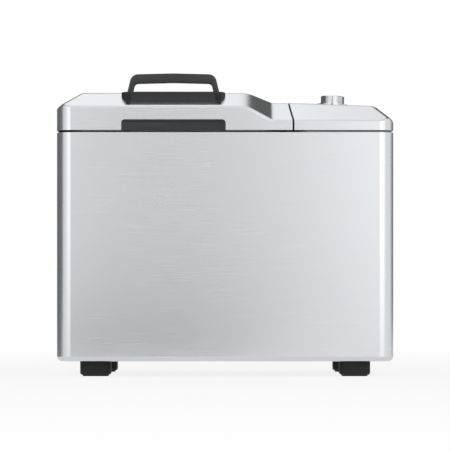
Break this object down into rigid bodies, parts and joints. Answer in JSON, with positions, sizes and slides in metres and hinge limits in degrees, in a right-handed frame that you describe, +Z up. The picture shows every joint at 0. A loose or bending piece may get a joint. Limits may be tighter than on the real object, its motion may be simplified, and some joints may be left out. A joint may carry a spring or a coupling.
{
  "type": "bread machine",
  "caption": "Countertop bread machine in brushed steel with a sloped hinged lid, folding lid handle, control cover with dial and keys, lift-out pan and belt-driven kneading paddle.",
  "frame": {"origin": "on the floor under the middle of the machine", "axes": "+X to the right seen from the front, +Y to the rear, +Z up"},
  "size_m": [0.416, 0.2454, 0.3746],
  "materials": {
    "steel_skin": "fine horizontal brushing",
    "black_plastic": "satin black moulding",
    "black_rubber": "matt",
    "grey_silicone": "soft matt",
    "zinc_steel": "plated",
    "fascia_black": "gloss black",
    "display_glass": "clear gloss over the display",
    "display_grey": "display panel",
    "board_green": "circuit board",
    "dial_metal": "turned metal",
    "oven_aluminium": "pressed sheet",
    "heater_sheath": "dull dark sheath",
    "bush_brass": "turned",
    "motor_paint": "grey paint",
    "pan_coating": "dark non-stick coating",
    "pulley_plastic": "natural moulding",
    "clear_glass": "clear toughened pane",
    "key_silver": "silver moulding"
  },
  "bodies": {
    "housing": {"case_wrap": "steel_skin", "cord_inlet": "black_plastic", "base_tray": "black_plastic", "feet": "black_plastic", "foot_pads": "black_rubber", "housing_screws": "zinc_steel", "top_deck": "black_plastic", "hinge_brackets": "zinc_steel", "hinge_pins": "zinc_steel", "control_cover": "steel_skin", "control_fascia": "fascia_black", "display_lens": "display_glass", "display_module": "display_grey", "control_board": "board_green", "dial_ring": "dial_metal", "oven_liner": "oven_aluminium", "heating_element": "heater_sheath", "heater_clips": "zinc_steel", "temperature_sensor": "zinc_steel", "pan_socket": "oven_aluminium", "drive_bearing": "oven_aluminium", "shaft_bushes": "bush_brass", "drive_belt": "black_rubber", "chassis_plate": "zinc_steel", "chassis_posts": "zinc_steel", "motor_case": "motor_paint", "power_board": "board_green"},
    "lid": {"lid_shell": "steel_skin", "lid_base": "black_plastic", "lid_liner": "oven_aluminium", "lid_seal": "grey_silicone", "lid_grip": "black_plastic", "lid_screws": "zinc_steel", "lid_hinge_leaves": "zinc_steel", "window_frame": "fascia_black", "window_glass": "clear_glass", "inner_glass": "clear_glass", "handle_tray": "black_plastic", "handle_pins": "zinc_steel"},
    "handle": {"handle_bail": "black_plastic"},
    "pan": {"bread_pan": "pan_coating", "pan_bush": "bush_brass"},
    "pan_bail": {"pan_handle": "zinc_steel"},
    "paddle": {"paddle_shaft": "zinc_steel", "pan_coupling": "oven_aluminium", "kneading_paddle": "pan_coating"},
    "drive": {"drive_shaft": "zinc_steel", "drive_coupling": "oven_aluminium", "driven_pulley": "pulley_plastic"},
    "rotor": {"motor_pulley": "pulley_plastic", "motor_shaft": "zinc_steel"},
    "dial": {"dial_knob": "dial_metal", "dial_shaft": "zinc_steel"},
    "menu_up_key": {"menu_up_button": "key_silver"},
    "menu_down_key": {"menu_down_button": "key_silver"},
    "crust_key": {"crust_button": "key_silver"},
    "loaf_key": {"loaf_button": "key_silver"},
    "timer_key": {"timer_button": "key_silver"},
    "stop_key": {"stop_button": "key_silver"},
    "start_key": {"start_button": "key_silver"}
  },
  "joints": [
    {"name": "lid_hinge", "type": "hinge", "parent": "housing", "child": "lid", "pos_m": [-0.063, 0.119, 0.3046], "axis": [-1, 0, 0], "range_deg": [0, 90]},
    {"name": "handle_fold", "type": "hinge", "parent": "lid", "child": "handle", "pos_m": [-0.0641, -0.103, 0.3464], "axis": [-1, 0, 0], "range_deg": [0, 90]},
    {"name": "dial_turn", "type": "hinge", "parent": "housing", "child": "dial", "pos_m": [0.13466, -0.058, 0.33757], "axis": [0.0401, 0, 0.9992], "continuous": true},
    {"name": "pan_lift", "type": "slide", "parent": "housing", "child": "pan", "axis": [0, 0, 1], "range_m": [0, 0.055]},
    {"name": "pan_handle_swing", "type": "hinge", "parent": "pan", "child": "pan_bail", "pos_m": [-0.063, 0, 0.2676], "axis": [-1, 0, 0], "range_deg": [0, 90]},
    {"name": "drive_spin", "type": "hinge", "parent": "housing", "child": "drive", "pos_m": [-0.063, 0, 0.06], "axis": [0, 0, 1], "continuous": true},
    {"name": "paddle_spin", "type": "hinge", "parent": "pan", "child": "paddle", "pos_m": [-0.063, 0, 0.11], "axis": [0, 0, 1], "continuous": true},
    {"name": "rotor_spin", "type": "hinge", "parent": "housing", "child": "rotor", "pos_m": [0.135, 0, 0.06], "axis": [0, 0, 1], "continuous": true},
    {"name": "menu_up_press", "type": "slide", "parent": "housing", "child": "menu_up_key", "axis": [-0.0401, 0, -0.9992], "range_m": [0, 0.0012], "stiffness_N_per_m": 400, "springref_m": -0.0005},
    {"name": "menu_down_press", "type": "slide", "parent": "housing", "child": "menu_down_key", "axis": [-0.0401, 0, -0.9992], "range_m": [0, 0.0012], "stiffness_N_per_m": 400, "springref_m": -0.0005},
    {"name": "crust_press", "type": "slide", "parent": "housing", "child": "crust_key", "axis": [-0.0401, 0, -0.9992], "range_m": [0, 0.0012], "stiffness_N_per_m": 400, "springref_m": -0.0005},
    {"name": "loaf_press", "type": "slide", "parent": "housing", "child": "loaf_key", "axis": [-0.0401, 0, -0.9992], "range_m": [0, 0.0012], "stiffness_N_per_m": 400, "springref_m": -0.0005},
    {"name": "timer_press", "type": "slide", "parent": "housing", "child": "timer_key", "axis": [-0.0401, 0, -0.9992], "range_m": [0, 0.0012], "stiffness_N_per_m": 400, "springref_m": -0.0005},
    {"name": "stop_press", "type": "slide", "parent": "housing", "child": "stop_key", "axis": [-0.0401, 0, -0.9992], "range_m": [0, 0.0012], "stiffness_N_per_m": 400, "springref_m": -0.0005},
    {"name": "start_press", "type": "slide", "parent": "housing", "child": "start_key", "axis": [-0.0401, 0, -0.9992], "range_m": [0, 0.0012], "stiffness_N_per_m": 400, "springref_m": -0.0005}
  ],
  "couplings": [
    {"joint": "paddle_spin", "follows": "drive_spin", "ratio": 1},
    {"joint": "rotor_spin", "follows": "drive_spin", "ratio": 4.6667}
  ]
}
